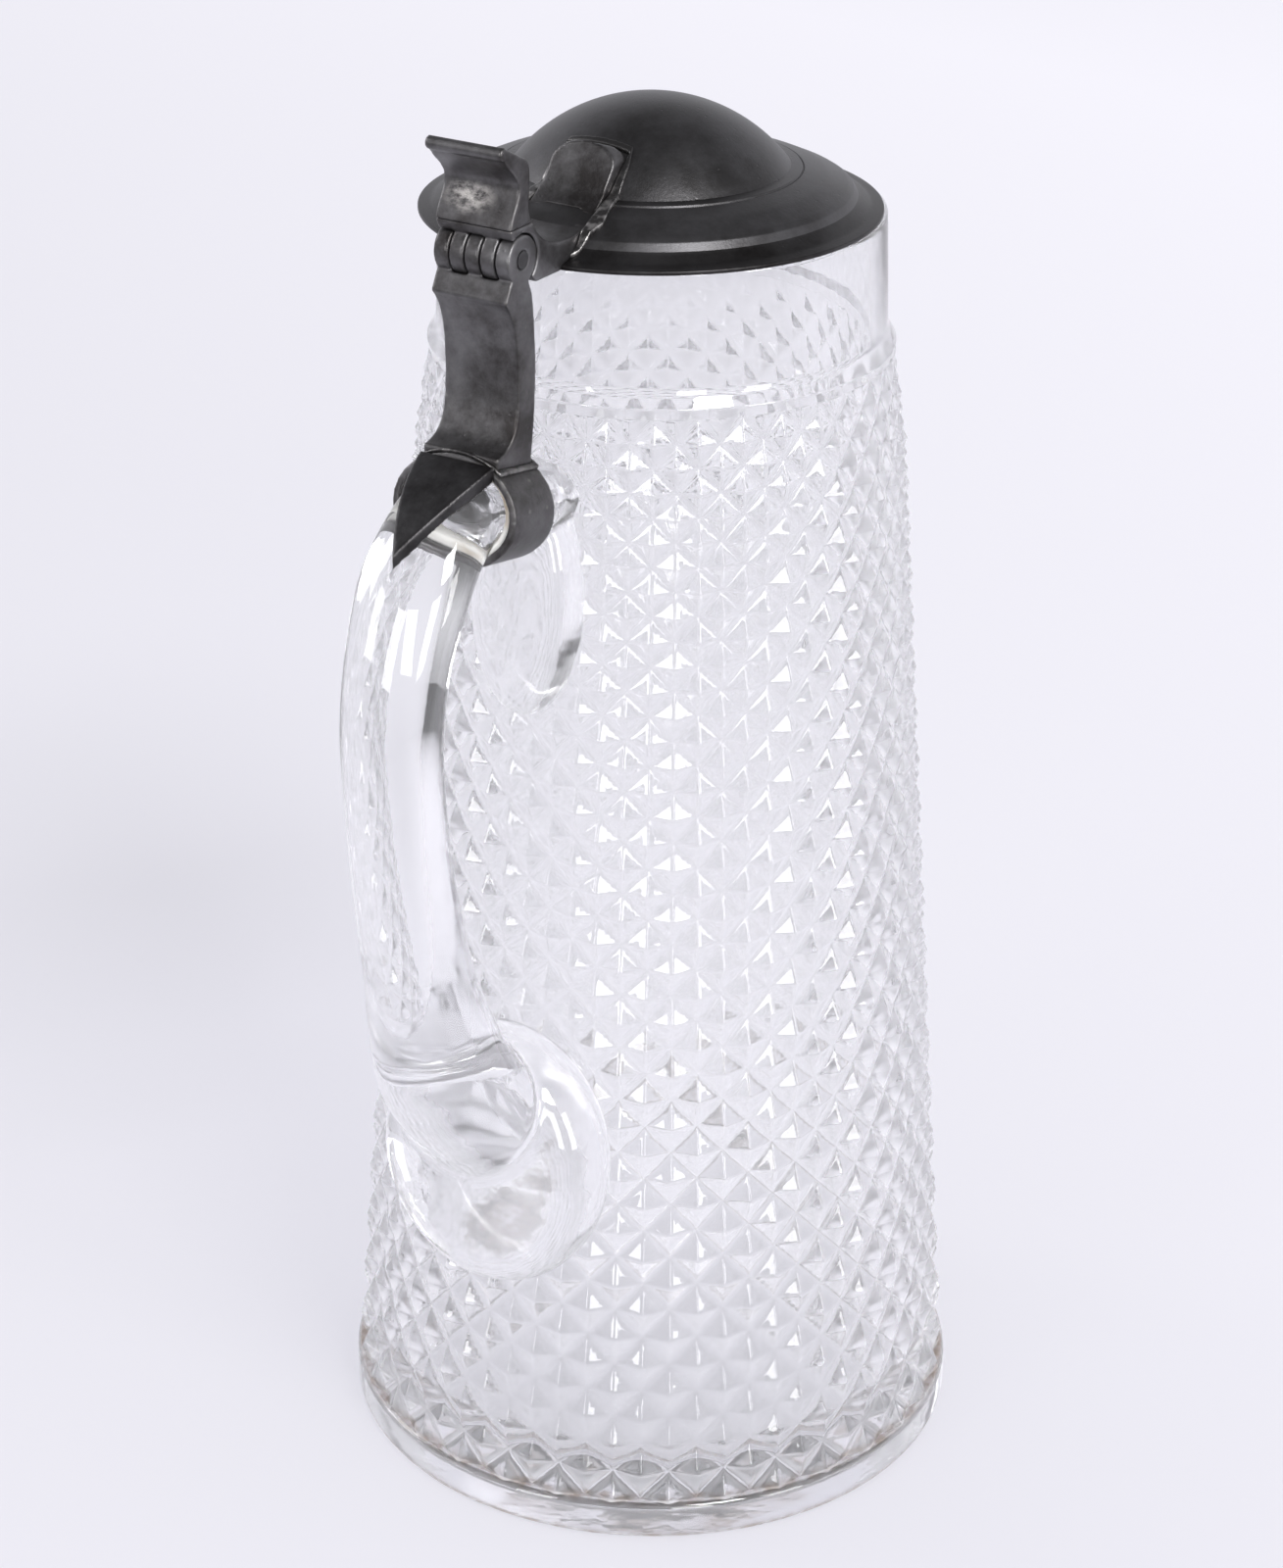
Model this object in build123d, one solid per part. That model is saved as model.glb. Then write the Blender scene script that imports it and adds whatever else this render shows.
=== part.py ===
from build123d import *
from math import atan, cos, degrees, pi, radians, sin, sqrt, tan
import os

# Lidded glass tankard. Millimetres. The origin is the centre of the base on the table,
# +Z is up, the handle points along +X and the lid's hinge pin lies along Y.

# Glass body: foot, pyramid belt, step ring and plain neck band
FOOT_RADIUS = 68.2
FOOT_HEIGHT = 9.1
FOOT_ROUND = 1.8
BELT_HEIGHT = 241.0
BELT_TOP_RADIUS = 48.0
SHOULDER_HEIGHT = 20.6
SHOULDER_DROP = 3.4
BELT_INSET = 0.3
COLUMNS = 34
HALF_ROWS = 42
COLUMN_TURN = 3.34
PYRAMID_DEPTH = 2.2
TOP_PYRAMID_DEPTH = 0.8
STEP_RING_HEIGHT = 2.4
STEP_FILLET = 3.0
NECK_RADIUS = 46.2
MOUTH_RADIUS = 45.3
NECK_HEIGHT = 24.2
MOUTH_ROUND = 1.5
MOUTH_WALL = 3.8
GLASS_WALL = 4.4
GLASS_FLOOR = 12.0
FLOOR_ROUND = 9.0

# Lid: a stepped and domed casting that overhangs the glass and sits off centre to the hinge
LID_SEAT_GAP = 0.3
LID_RADIUS = 46.7
LID_OFFSET = 4.6
LID_EDGE = 0.8
BRIM_WIDTH = 5.2
BRIM_RISE = 2.2
BRIM_HOLLOW = 0.5
BEVEL_WIDTH = 1.7
BEVEL_RISE = 2.1
BAND_WIDTH = 9.5
BAND_RISE = 3.5
DOME_STEP = 0.5
DOME_FOOT_INSET = 2.4
DOME_RISE = 13.3
LID_WALL = 2.2
SEAT_WIDTH = 8.0

# Hinge: five equal knuckles on one pin
HINGE_REACH = 12.3
HINGE_RISE = 5.4
KNUCKLE_RADIUS = 4.75
HINGE_WIDTH = 17.2
KNUCKLES = 5
KNUCKLE_GAP = 0.25
KNUCKLE_CLEARANCE = 0.35
PIN_RADIUS = 1.75
PIN_RUNNING_CLEARANCE = 0.05

# Strap between the collar and the hinge
STRAP_DROP = 49.2
STRAP_LEAD = 4.8
STRAP_FRONT = 1.6
STRAP_BACK = 4.2
STRAP_NECK_BACK = 3.2
STRAP_RIDGE_REACH = 5.7
STRAP_RIDGE_DROP = 7.2
STRAP_SHOULDER_DROP = 3.9
STRAP_FOOT_SETBACK = 0.6
STRAP_FOOT_EDGE = 0.3
STRAP_FOOT_RISE = 10.0
STRAP_BACK_SETBACK = 1.4
STRAP_BEAD_WIDTH = 1.1
STRAP_BEAD_HEIGHT = 0.7

# Collar and its plaster bed round the handle's stub
COLLAR_LENGTH = 14.0
COLLAR_TILT = 10.0
COLLAR_WALL = 1.6
PACKING = 1.6
PACKING_RECESS = 1.2

# Leaf on the handle's spine
LEAF_LENGTH = 22.0
LEAF_HALF_WIDTH = 8.6
LEAF_THICKNESS = 3.0
LEAF_DROP = 0.8
LEAF_FALL = 12.8
LEAF_BULGE = 1.6
LEAF_SIDE_BULGE = 1.3

# Thumb-lift, which stands on the lever above the pin
SEAT_RISE = 6.4
SEAT_FRONT = 4.0
SEAT_BACK = 3.6
LIFT_HEIGHT = 16.2
LIFT_LIP = 2.6
LIFT_THROW = 7.0
LIFT_WAIST = 0.9
LIFT_BACK = 2.4
LIFT_NECK_BACK = 2.1
LIFT_CROWN_DROP = 3.0

# Lever: a concave tongue that lies on the lid and leans against the dome
LEVER_SHOULDER_REACH = 3.0
LEVER_SHOULDER_RISE = 4.3
LEVER_HEEL = 4.5
TONGUE_REACH = 35.5
TONGUE_RISE = 13.2
TONGUE_LIP = 2.5
TONGUE_LIP_DROP = 1.0
TONGUE_DIP = 0.2
TONGUE_HALF_WIDTH = 7.2
TONGUE_ARCH = 4.0
SOLDER_WIDTH = 2.4
SOLDER_HEIGHT = 1.0

# Glass handle: half-width across and half-depth along its bow at each level
STUB_HALF_WIDTH = 11.0
STUB_HALF_DEPTH = 8.0
SHOULDER_HALF_WIDTH = 12.0
SHOULDER_HALF_DEPTH = 7.8
SHOULDER_REACH = 12.2
SHOULDER_FALL = 10.2
BOW_HALF_WIDTH = 10.9
BOW_HALF_DEPTH = 8.0
BOW_REACH = 97.0
BOW_DROP = 40.0
ROOT_HALF_WIDTH = 14.2
ROOT_HALF_DEPTH = 9.4
ROOT_REACH = 86.2
ROOT_HEIGHT = 134.0
HEEL_HALF_WIDTH = 17.5
HEEL_HALF_DEPTH = 12.0
HEEL_REACH = 76.0
HEEL_HEIGHT = 111.0
FOOT_LEVEL = 90.0
HANDLE_SECTIONS = 14
PAD_HEIGHT = 92.0
PAD_SHIFT = 2.3
PAD_HALF_WIDTH = 25.9
PAD_HALF_HEIGHT = 29.0
PAD_THICKNESS = 11.0
UPPER_PAD_DROP = 24.0
UPPER_PAD_SHIFT = 1.8
UPPER_PAD_HALF_WIDTH = 12.8
UPPER_PAD_HALF_HEIGHT = 25.0
UPPER_PAD_THICKNESS = 6.5
GLASS_BITE = 0.4

# Levels and places worked out from the sizes above
BELT_TOP = FOOT_HEIGHT + BELT_HEIGHT
NECK_START = BELT_TOP + STEP_RING_HEIGHT
MOUTH_HEIGHT = NECK_START + STEP_FILLET + NECK_HEIGHT
LID_SEAT = MOUTH_HEIGHT + LID_SEAT_GAP
HINGE_X = LID_OFFSET + LID_RADIUS + HINGE_REACH
HINGE_Z = LID_SEAT + HINGE_RISE
HALF_HINGE = HINGE_WIDTH / 2
BELT_BOTTOM_RADIUS = FOOT_RADIUS - BELT_INSET
SHOULDER_START = BELT_TOP - SHOULDER_HEIGHT
SHOULDER_RADIUS = BELT_TOP_RADIUS + SHOULDER_DROP
COLLAR_X = HINGE_X + STRAP_LEAD
COLLAR_Z = HINGE_Z - STRAP_DROP
COLLAR_HALF_WIDTH = STUB_HALF_WIDTH + PACKING + COLLAR_WALL
COLLAR_HALF_HEIGHT = STUB_HALF_DEPTH + PACKING + COLLAR_WALL


def between(low, high, share):
    """Value that lies the given share of the way from low to high."""
    return low + (high - low) * share


def tip_radius(height):
    """Radius to the points of the pyramids: a long taper, then a steeper shoulder."""
    if height < SHOULDER_START:
        share = (height - FOOT_HEIGHT) / (SHOULDER_START - FOOT_HEIGHT)
        return between(BELT_BOTTOM_RADIUS, SHOULDER_RADIUS, share)
    share = (height - SHOULDER_START) / SHOULDER_HEIGHT
    return between(SHOULDER_RADIUS, BELT_TOP_RADIUS, share)


def pyramid_depth(height):
    """The pyramids grow shallower over the shoulder."""
    share = max(0.0, (height - SHOULDER_START) / SHOULDER_HEIGHT)
    return between(PYRAMID_DEPTH, TOP_PYRAMID_DEPTH, share)


def valley_radius(height):
    return tip_radius(height) - pyramid_depth(height)


def row_height(row):
    """Rows stand closer together upwards, in step with the radius, so diamonds stay alike."""
    shrink = (BELT_TOP_RADIUS / BELT_BOTTOM_RADIUS) ** (1 / HALF_ROWS)
    share = (1 - shrink**row) / (1 - shrink**HALF_ROWS)
    return FOOT_HEIGHT + BELT_HEIGHT * share


def upright(*edges):
    """Closed outline, drawn as radius or X against height, as a face in the XZ plane."""
    return Plane.XZ * make_face(Curve() + list(edges))


def turned(*edges):
    """Solid of revolution about the upright axis."""
    return revolve(upright(*edges), Axis.Z)


def belt_point(row, column):
    """Corner of the pyramid belt: points of pyramids and corners of grooves take turns."""
    height = row_height(row)
    is_tip = (row + column) % 2 == 0
    radius = tip_radius(height) if is_tip else valley_radius(height)
    angle = radians(COLUMN_TURN + column * 180 / COLUMNS)
    return Vector(radius * cos(angle), radius * sin(angle), height)


def pyramid_belt():
    """Faceted belt: each cell between two rows folds along its groove."""
    faces = []
    for row in range(HALF_ROWS):
        for column in range(2 * COLUMNS):
            low = belt_point(row, column)
            low_next = belt_point(row, column + 1)
            high = belt_point(row + 1, column)
            high_next = belt_point(row + 1, column + 1)
            if (row + column) % 2 == 0:
                triangles = [(low, low_next, high), (high_next, high, low_next)]
            else:
                triangles = [(low_next, high_next, low), (high, low, high_next)]
            faces += [Face(Wire.make_polygon(corners)) for corners in triangles]
    for row in (0, HALF_ROWS):
        ring = [belt_point(row, column) for column in range(2 * COLUMNS)]
        faces.append(Face(Wire.make_polygon(ring)))
    return Solid(Shell(faces))


def foot_ring():
    """Plain rounded foot below the belt, flat underneath."""
    round_start = FOOT_RADIUS - FOOT_ROUND
    top_round = FOOT_HEIGHT - FOOT_ROUND
    diagonal = FOOT_ROUND * sqrt(0.5)
    low_arc = ThreePointArc(
        (round_start, 0), (round_start + diagonal, FOOT_ROUND - diagonal), (FOOT_RADIUS, FOOT_ROUND)
    )
    high_arc = ThreePointArc(
        (FOOT_RADIUS, top_round), (round_start + diagonal, top_round + diagonal), (round_start, FOOT_HEIGHT)
    )
    return turned(
        Line((0, 0), (round_start, 0)),
        low_arc,
        Line((FOOT_RADIUS, FOOT_ROUND), (FOOT_RADIUS, top_round)),
        high_arc,
        Line((round_start, FOOT_HEIGHT), (0, FOOT_HEIGHT)),
        Line((0, FOOT_HEIGHT), (0, 0)),
    )


def neck_band():
    """Step ring and plain band up to the mouth."""
    fillet_top = NECK_START + STEP_FILLET
    round_start = MOUTH_HEIGHT - MOUTH_ROUND
    flare = (BELT_TOP_RADIUS - NECK_RADIUS) * (1 - sqrt(0.5))
    drop = STEP_FILLET * (1 - sqrt(0.5))
    return turned(
        Line((0, BELT_TOP), (BELT_TOP_RADIUS, BELT_TOP)),
        Line((BELT_TOP_RADIUS, BELT_TOP), (BELT_TOP_RADIUS, NECK_START)),
        ThreePointArc(
            (BELT_TOP_RADIUS, NECK_START), (NECK_RADIUS + flare, NECK_START + drop), (NECK_RADIUS, fillet_top)
        ),
        Line((NECK_RADIUS, fillet_top), (MOUTH_RADIUS, round_start)),
        ThreePointArc(
            (MOUTH_RADIUS, round_start),
            (MOUTH_RADIUS - MOUTH_ROUND * (1 - sqrt(0.5)), round_start + MOUTH_ROUND * sqrt(0.5)),
            (MOUTH_RADIUS - MOUTH_ROUND, MOUTH_HEIGHT),
        ),
        Line((MOUTH_RADIUS - MOUTH_ROUND, MOUTH_HEIGHT), (0, MOUTH_HEIGHT)),
        Line((0, MOUTH_HEIGHT), (0, BELT_TOP)),
    )


def cavity():
    """Smooth tapering inside of the vessel, with a rounded floor corner and lip."""
    floor_radius = valley_radius(GLASS_FLOOR) - GLASS_WALL
    mouth_inside = MOUTH_RADIUS - MOUTH_WALL
    wall_start = GLASS_FLOOR + FLOOR_ROUND
    lip_start = MOUTH_HEIGHT - MOUTH_ROUND
    low_corner = floor_radius - FLOOR_ROUND
    diagonal = FLOOR_ROUND * sqrt(0.5)
    return turned(
        Line((0, GLASS_FLOOR), (low_corner, GLASS_FLOOR)),
        ThreePointArc(
            (low_corner, GLASS_FLOOR),
            (low_corner + diagonal, wall_start - diagonal),
            (floor_radius, wall_start),
        ),
        Line((floor_radius, wall_start), (mouth_inside, lip_start)),
        ThreePointArc(
            (mouth_inside, lip_start),
            (mouth_inside + MOUTH_ROUND * (1 - sqrt(0.5)), lip_start + MOUTH_ROUND * sqrt(0.5)),
            (mouth_inside + MOUTH_ROUND, MOUTH_HEIGHT),
        ),
        Line((mouth_inside + MOUTH_ROUND, MOUTH_HEIGHT), (0, MOUTH_HEIGHT)),
        Line((0, MOUTH_HEIGHT), (0, GLASS_FLOOR)),
    )


def glass_body():
    return foot_ring() + pyramid_belt() + neck_band() - cavity()


def body_core(margin):
    """Smooth taper just outside the grooves of the belt, which the handle's glass ends on."""
    low = (valley_radius(FOOT_HEIGHT) + margin, FOOT_HEIGHT)
    middle = (valley_radius(SHOULDER_START) + margin, SHOULDER_START)
    high = (valley_radius(BELT_TOP) + margin, BELT_TOP)
    return turned(Polyline((0, FOOT_HEIGHT), low, middle, high, (0, BELT_TOP), close=True))


def collar_plane(distance):
    """Plane square to the collar's axis; the distance runs outwards from its middle."""
    tilt = radians(COLLAR_TILT)
    centre = (COLLAR_X + distance * cos(tilt), 0, COLLAR_Z + distance * sin(tilt))
    return Plane(origin=centre, x_dir=(0, 1, 0), z_dir=(cos(tilt), 0, sin(tilt)))


def collar_prism(start, end, half_width, half_height):
    """Elliptical bar along the collar's axis between two distances from its middle."""
    return extrude(collar_plane(start) * Ellipse(half_width, half_height), end - start)


def collar_crest(distance):
    """X of the collar's crest in the square plane at a distance from its middle."""
    return collar_plane(distance).origin.X - COLLAR_HALF_HEIGHT * sin(radians(COLLAR_TILT))


def collar_top(x):
    """Height of the collar's crest at a given X."""
    tilt = radians(COLLAR_TILT)
    return COLLAR_Z + (x - COLLAR_X) * tan(tilt) + COLLAR_HALF_HEIGHT / cos(tilt)


def wall_pad(height, shift, thickness, half_width, half_height):
    """Lens of glass pressed on the leaning wall of the belt."""
    lean = degrees(atan((BELT_BOTTOM_RADIUS - SHOULDER_RADIUS) / (SHOULDER_START - FOOT_HEIGHT)))
    lens = scale(Sphere(1), by=(thickness, half_width, half_height))
    return Pos(tip_radius(height), shift, height) * Rot(0, -lean, 0) * lens


def eased(marks, values, share):
    """Value at a share of the way, passing smoothly from each mark's value to the next."""
    for low, high, start, end in zip(marks, marks[1:], values, values[1:]):
        if share <= high:
            turn = pi * (share - low) / (high - low)
            return between(start, end, (1 - cos(turn)) / 2)
    return values[-1]


def handle_bar():
    """Bar of glass from the wall through the collar, round the bow and down to the lower pad."""
    wall = (COLLAR_X - valley_radius(COLLAR_Z)) / cos(radians(COLLAR_TILT))
    stub_end = collar_plane(COLLAR_LENGTH / 2).origin
    shoulder = stub_end + Vector(SHOULDER_REACH, 0, -SHOULDER_FALL)
    stations = [
        (collar_plane(-wall).origin, STUB_HALF_WIDTH, STUB_HALF_DEPTH),
        (collar_plane(0).origin, STUB_HALF_WIDTH, STUB_HALF_DEPTH),
        (stub_end, STUB_HALF_WIDTH, STUB_HALF_DEPTH),
        (shoulder, SHOULDER_HALF_WIDTH, SHOULDER_HALF_DEPTH),
        (Vector(BOW_REACH, 0, COLLAR_Z - BOW_DROP), BOW_HALF_WIDTH, BOW_HALF_DEPTH),
        (Vector(ROOT_REACH, 0, ROOT_HEIGHT), ROOT_HALF_WIDTH, ROOT_HALF_DEPTH),
        (Vector(HEEL_REACH, 0, HEEL_HEIGHT), HEEL_HALF_WIDTH, HEEL_HALF_DEPTH),
        (Vector(tip_radius(FOOT_LEVEL), 0, FOOT_LEVEL), HEEL_HALF_WIDTH, HEEL_HALF_DEPTH),
    ]
    points, half_widths, half_depths = zip(*stations)
    path = Spline(*points)
    marks = [path.param_at_point(point) for point in points]
    sections = []
    for step in range(HANDLE_SECTIONS + 1):
        share = step / HANDLE_SECTIONS
        section = Ellipse(eased(marks, half_widths, share), eased(marks, half_depths, share))
        sections.append(Plane(path @ share, x_dir=(0, 1, 0), z_dir=path % share) * section)
    return loft(sections)


def collar_squeeze():
    """Tube of space round the stub that keeps the bend of the handle out of the collar."""
    half_collar = COLLAR_LENGTH / 2
    play = PACKING / 2
    room = collar_prism(-half_collar, half_collar, STUB_HALF_WIDTH + play, STUB_HALF_DEPTH + play)
    block = collar_prism(-half_collar, half_collar, 2 * COLLAR_HALF_WIDTH, 2 * COLLAR_HALF_HEIGHT)
    return block - room


def glass_handle():
    """Bar and two pads, each ended on the belt before they are joined."""
    lower_pad = wall_pad(PAD_HEIGHT, PAD_SHIFT, PAD_THICKNESS, PAD_HALF_WIDTH, PAD_HALF_HEIGHT)
    upper_height = COLLAR_Z - UPPER_PAD_DROP
    upper_pad = wall_pad(
        upper_height, UPPER_PAD_SHIFT, UPPER_PAD_THICKNESS, UPPER_PAD_HALF_WIDTH, UPPER_PAD_HALF_HEIGHT
    )
    core = body_core(GLASS_BITE)
    bar = handle_bar() - core - collar_squeeze()
    return bar + (lower_pad - core) + (upper_pad - core)


def handle_collar():
    half_collar = COLLAR_LENGTH / 2
    outside = collar_prism(-half_collar, half_collar, COLLAR_HALF_WIDTH, COLLAR_HALF_HEIGHT)
    bore = collar_prism(
        -half_collar, half_collar, COLLAR_HALF_WIDTH - COLLAR_WALL, COLLAR_HALF_HEIGHT - COLLAR_WALL
    )
    return outside - bore


def collar_packing(handle):
    """Plaster that fills the space between the collar and the glass, a little short of the rims."""
    reach = COLLAR_LENGTH / 2 - PACKING_RECESS
    fill = collar_prism(-reach, reach, COLLAR_HALF_WIDTH - COLLAR_WALL, COLLAR_HALF_HEIGHT - COLLAR_WALL)
    return fill - handle


def collar_leaf(handle):
    """Pointed leaf that falls from the collar's rim along the handle's spine."""
    start_x = collar_crest(COLLAR_LENGTH / 2)
    top = collar_top(start_x) - LEAF_DROP
    tip_x = start_x + LEAF_LENGTH
    middle_x = start_x + LEAF_LENGTH / 2
    middle_z = top - LEAF_FALL / 2 + LEAF_BULGE
    side = upright(
        ThreePointArc((start_x, top), (middle_x, middle_z), (tip_x, top - LEAF_FALL)),
        Line((tip_x, top - LEAF_FALL), (tip_x, top - LEAF_FALL - LEAF_THICKNESS)),
        ThreePointArc(
            (tip_x, top - LEAF_FALL - LEAF_THICKNESS),
            (middle_x, middle_z - LEAF_THICKNESS),
            (start_x, top - LEAF_THICKNESS),
        ),
        Line((start_x, top - LEAF_THICKNESS), (start_x, top)),
    )
    edge_middle = LEAF_HALF_WIDTH / 2 + LEAF_SIDE_BULGE
    outline = make_face(
        Curve()
        + [
            Line((start_x, -LEAF_HALF_WIDTH), (start_x, LEAF_HALF_WIDTH)),
            ThreePointArc((start_x, LEAF_HALF_WIDTH), (middle_x, edge_middle), (tip_x, 0)),
            ThreePointArc((tip_x, 0), (middle_x, -edge_middle), (start_x, -LEAF_HALF_WIDTH)),
        ]
    )
    band = extrude(side, LEAF_HALF_WIDTH, both=True)
    plan = extrude(Pos(0, 0, top - 2 * LEAF_FALL) * outline, 3 * LEAF_FALL)
    rim = collar_prism(0, COLLAR_LENGTH / 2, COLLAR_HALF_WIDTH, 2 * COLLAR_HALF_HEIGHT)
    return (band & plan) - handle - rim


def knuckle(index, radius, margin):
    """Bar along the pin's axis over one knuckle's width, grown by a margin at each inner side."""
    width = HINGE_WIDTH / KNUCKLES
    low = -HALF_HINGE + index * width
    high = low + width
    if index > 0:
        low -= margin
    if index < KNUCKLES - 1:
        high += margin
    base = Plane(origin=(HINGE_X, low, HINGE_Z), x_dir=(1, 0, 0), z_dir=(0, 1, 0))
    return extrude(base * Circle(radius), high - low)


def hinge_leaf(plate, first, bore_radius):
    """Plate with every second knuckle on it, cut clear of the other plate's knuckles."""
    leaf = plate
    for index in range(1 - first, KNUCKLES, 2):
        leaf -= knuckle(index, KNUCKLE_RADIUS + KNUCKLE_CLEARANCE, KNUCKLE_GAP / 2)
    for index in range(first, KNUCKLES, 2):
        leaf += knuckle(index, KNUCKLE_RADIUS, -KNUCKLE_GAP / 2)
    bore = extrude(
        Plane(origin=(HINGE_X, -HALF_HINGE, HINGE_Z), x_dir=(1, 0, 0), z_dir=(0, 1, 0)) * Circle(bore_radius),
        HINGE_WIDTH,
    )
    return leaf - bore


def across(*edges):
    """Side outline given from the pin's axis, as X and Z, spread over the hinge's width."""
    outline = Pos(HINGE_X, 0, HINGE_Z) * upright(*edges)
    return extrude(outline, HALF_HINGE, both=True)


def hinge_strap():
    """Strap from the collar up to the pin: a concave front below a sharp moulding."""
    half_collar = COLLAR_LENGTH / 2
    foot_x = collar_crest(half_collar) - STRAP_FOOT_SETBACK - HINGE_X
    foot_top = collar_top(HINGE_X + foot_x) + STRAP_FOOT_EDGE - HINGE_Z
    back_x = collar_crest(-half_collar) - HINGE_X
    back_foot = collar_top(HINGE_X + back_x) - HINGE_Z
    base = -STRAP_DROP
    ridge = (STRAP_RIDGE_REACH, -STRAP_RIDGE_DROP)
    shoulder = (SEAT_FRONT, -STRAP_SHOULDER_DROP)
    foot_tip = (foot_x, foot_top)
    front = Spline(
        ridge,
        (between(STRAP_FRONT, STRAP_RIDGE_REACH, 0.35), -between(STRAP_RIDGE_DROP, STRAP_DROP, 0.1)),
        (STRAP_FRONT, -between(STRAP_RIDGE_DROP, STRAP_DROP, 0.3)),
        (STRAP_FRONT, foot_top + STRAP_FOOT_RISE),
        (between(STRAP_FRONT, foot_x, 0.2), foot_top + 0.35 * STRAP_FOOT_RISE),
        foot_tip,
    )
    back = Spline(
        (back_x + STRAP_BACK_SETBACK, back_foot),
        (-STRAP_BACK, back_foot + 2 * STRAP_FOOT_RISE),
        (-STRAP_NECK_BACK, -STRAP_RIDGE_DROP),
    )
    plate = across(
        Line((0, 0), shoulder),
        Line(shoulder, ridge),
        front,
        Line(foot_tip, (foot_x, base)),
        Line((foot_x, base), (back_x + STRAP_BACK_SETBACK, base)),
        Line((back_x + STRAP_BACK_SETBACK, base), (back_x + STRAP_BACK_SETBACK, back_foot)),
        back,
        Line((-STRAP_NECK_BACK, -STRAP_RIDGE_DROP), (0, 0)),
    )
    plate -= collar_prism(-COLLAR_LENGTH, COLLAR_LENGTH, COLLAR_HALF_WIDTH, COLLAR_HALF_HEIGHT)
    return hinge_leaf(plate, 0, PIN_RADIUS)


def strap_solder(strap, leaf):
    """Low bead of solder round the strap's foot on the collar."""
    half_collar = COLLAR_LENGTH / 2
    front = collar_crest(half_collar)
    back = collar_crest(-half_collar) + STRAP_BACK_SETBACK - STRAP_BEAD_WIDTH
    bead_width = HINGE_WIDTH + 2 * STRAP_BEAD_WIDTH
    footprint = Pos((front + back) / 2, 0, COLLAR_Z + COLLAR_HALF_HEIGHT) * Box(
        front - back, bead_width, 2 * COLLAR_HALF_HEIGHT
    )
    skin = collar_prism(
        -half_collar,
        half_collar,
        COLLAR_HALF_WIDTH + STRAP_BEAD_HEIGHT,
        COLLAR_HALF_HEIGHT + STRAP_BEAD_HEIGHT,
    )
    collar = collar_prism(-half_collar, half_collar, COLLAR_HALF_WIDTH, COLLAR_HALF_HEIGHT)
    return (footprint & skin) - collar - strap - leaf


def hinge_pin():
    """Pin whose ends are riveted over the outer knuckles."""
    base = Plane(origin=(HINGE_X, -HALF_HINGE, HINGE_Z), x_dir=(1, 0, 0), z_dir=(0, 1, 0))
    return extrude(base * Circle(PIN_RADIUS), HINGE_WIDTH)


def lid_levels():
    """Radius and height of each corner of the lid's top, from the rim to the foot of the dome."""
    rim = LID_RADIUS
    edge_top = LID_SEAT + LID_EDGE
    brim = (rim - BRIM_WIDTH, edge_top + BRIM_RISE)
    bevel = (brim[0] - BEVEL_WIDTH, brim[1] + BEVEL_RISE)
    band = (bevel[0] - BAND_WIDTH, bevel[1] + BAND_RISE)
    dome = (band[0] - DOME_FOOT_INSET, band[1] + DOME_STEP)
    return (rim, edge_top), brim, bevel, band, dome


def lid_outside():
    """Outside of the lid as a full solid: edge, hollow brim, bevel, sloping band and dome."""
    edge, brim, bevel, band, dome = lid_levels()
    hollow = (between(edge[0], brim[0], 0.5), between(edge[1], brim[1], 0.5) - BRIM_HOLLOW)
    top = dome[1] + DOME_RISE
    ball = (dome[0] ** 2 + DOME_RISE**2) / (2 * DOME_RISE)
    half_turn = radians(90) - atan((ball - DOME_RISE) / dome[0])
    shoulder = (ball * sin(half_turn / 2), top - ball * (1 - cos(half_turn / 2)))
    outline = turned(
        Line((0, LID_SEAT), (LID_RADIUS, LID_SEAT)),
        Line((LID_RADIUS, LID_SEAT), edge),
        ThreePointArc(edge, hollow, brim),
        Line(brim, bevel),
        Line(bevel, band),
        Line(band, dome),
        ThreePointArc(dome, shoulder, (0, top)),
        Line((0, top), (0, LID_SEAT)),
    )
    return Pos(LID_OFFSET, 0, 0) * outline


def lid_hollow():
    """Underside of the lid, which follows the outside at the casting's wall."""
    edge, brim, bevel, band, dome = lid_levels()
    top = dome[1] + DOME_RISE - LID_WALL
    inner_dome = (dome[0] - LID_WALL, dome[1] - LID_WALL)
    rise = top - inner_dome[1]
    ball = (inner_dome[0] ** 2 + rise**2) / (2 * rise)
    half_turn = radians(90) - atan((ball - rise) / inner_dome[0])
    shoulder = (ball * sin(half_turn / 2), top - ball * (1 - cos(half_turn / 2)))
    inner_seat = (LID_RADIUS - SEAT_WIDTH, LID_SEAT)
    inner_band = (bevel[0] - 2 * LID_WALL, bevel[1] - LID_WALL)
    outline = turned(
        Line((0, LID_SEAT), inner_seat),
        Line(inner_seat, inner_band),
        Line(inner_band, inner_dome),
        ThreePointArc(inner_dome, shoulder, (0, top)),
        Line((0, top), (0, LID_SEAT)),
    )
    return Pos(LID_OFFSET, 0, 0) * outline


def lid_shell():
    return lid_outside() - lid_hollow()


def tongue_plan(margin):
    """Outline of the lever seen from above, wide at the hinge and narrower on the dome."""
    wide = HALF_HINGE + margin
    narrow = TONGUE_HALF_WIDTH + margin
    far = HINGE_X - TONGUE_REACH - TONGUE_ARCH - margin
    waist = HINGE_X - TONGUE_REACH + TONGUE_ARCH
    hip = HINGE_X - HINGE_REACH - BRIM_WIDTH
    near = HINGE_X + SEAT_FRONT
    corners = [(far, -narrow), (waist, -narrow), (hip, -wide), (near, -wide)]
    corners += [(x, -y) for x, y in reversed(corners)]
    return extrude(Pos(0, 0, LID_SEAT) * make_face(Polyline(*corners, close=True)), 2 * TONGUE_RISE)


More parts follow.
